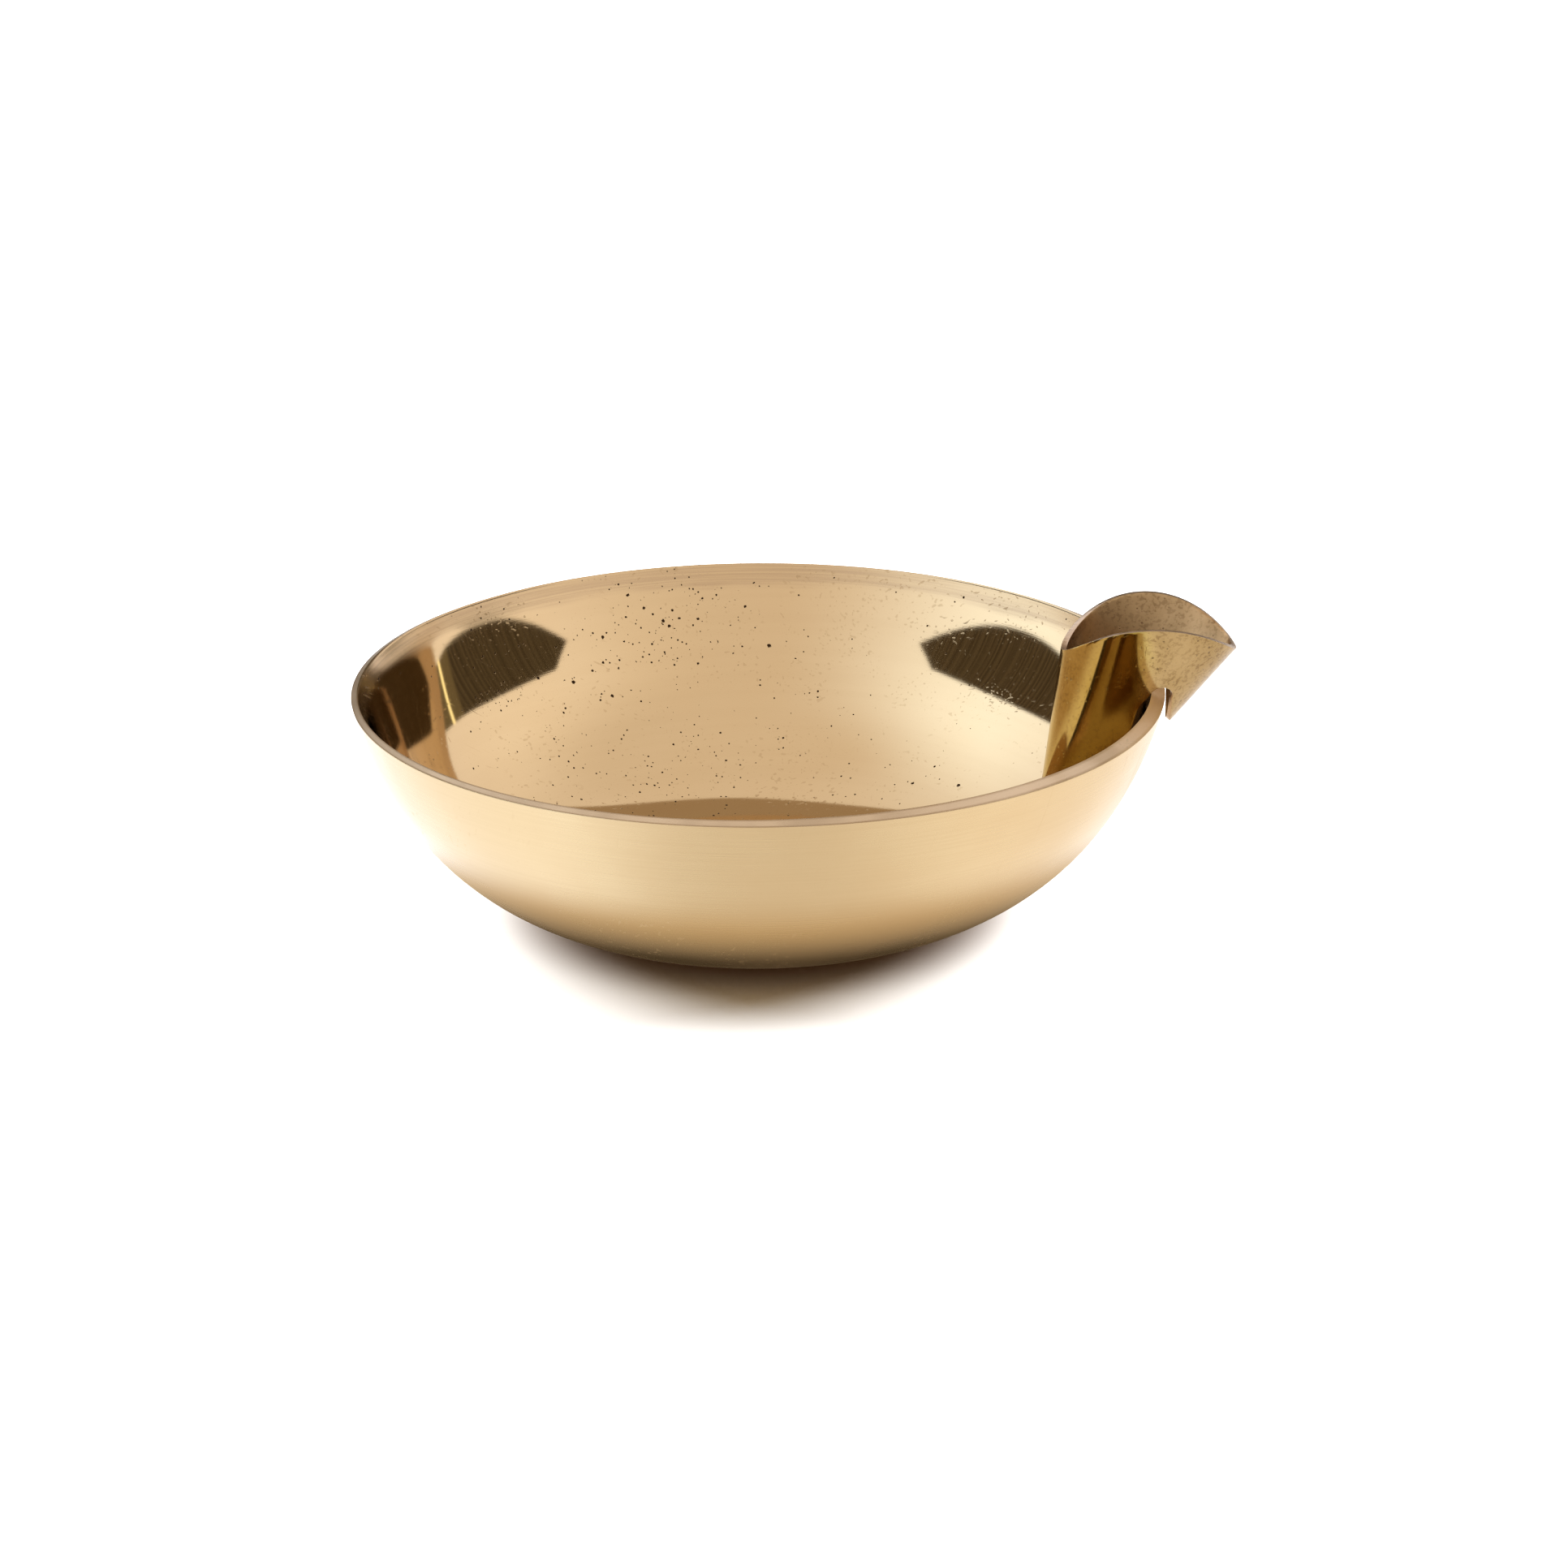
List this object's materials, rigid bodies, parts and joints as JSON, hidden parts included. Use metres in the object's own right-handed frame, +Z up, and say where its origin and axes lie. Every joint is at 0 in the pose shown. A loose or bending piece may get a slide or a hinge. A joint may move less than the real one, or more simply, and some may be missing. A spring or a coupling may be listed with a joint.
{
  "type": "bowl oil lamp",
  "caption": "Round polished brass bowl that stands on a small flat, with a folded sheet rest hooked over its rim by a notch, which lifts straight off.",
  "frame": {"origin": "centre of the flat that the bowl stands on", "axes": "+Z up along the bowl's axis, +X from the bowl's axis to the rest on its rim, +Y to the far side when +X is on the right"},
  "size_m": [0.1413, 0.13, 0.0488],
  "materials": {
    "bowl_brass": "polished, with small casting pits and fine scratches",
    "rest_brass": "polished, golden brown with light tarnish"
  },
  "bodies": {
    "bowl_body": {"bowl": "bowl_brass"},
    "rest_body": {"rim_rest": "rest_brass"}
  },
  "joints": [
    {"name": "rest_lift", "type": "slide", "parent": "bowl_body", "child": "rest_body", "axis": [0, 0, 1], "range_m": [0, 0.045]}
  ]
}
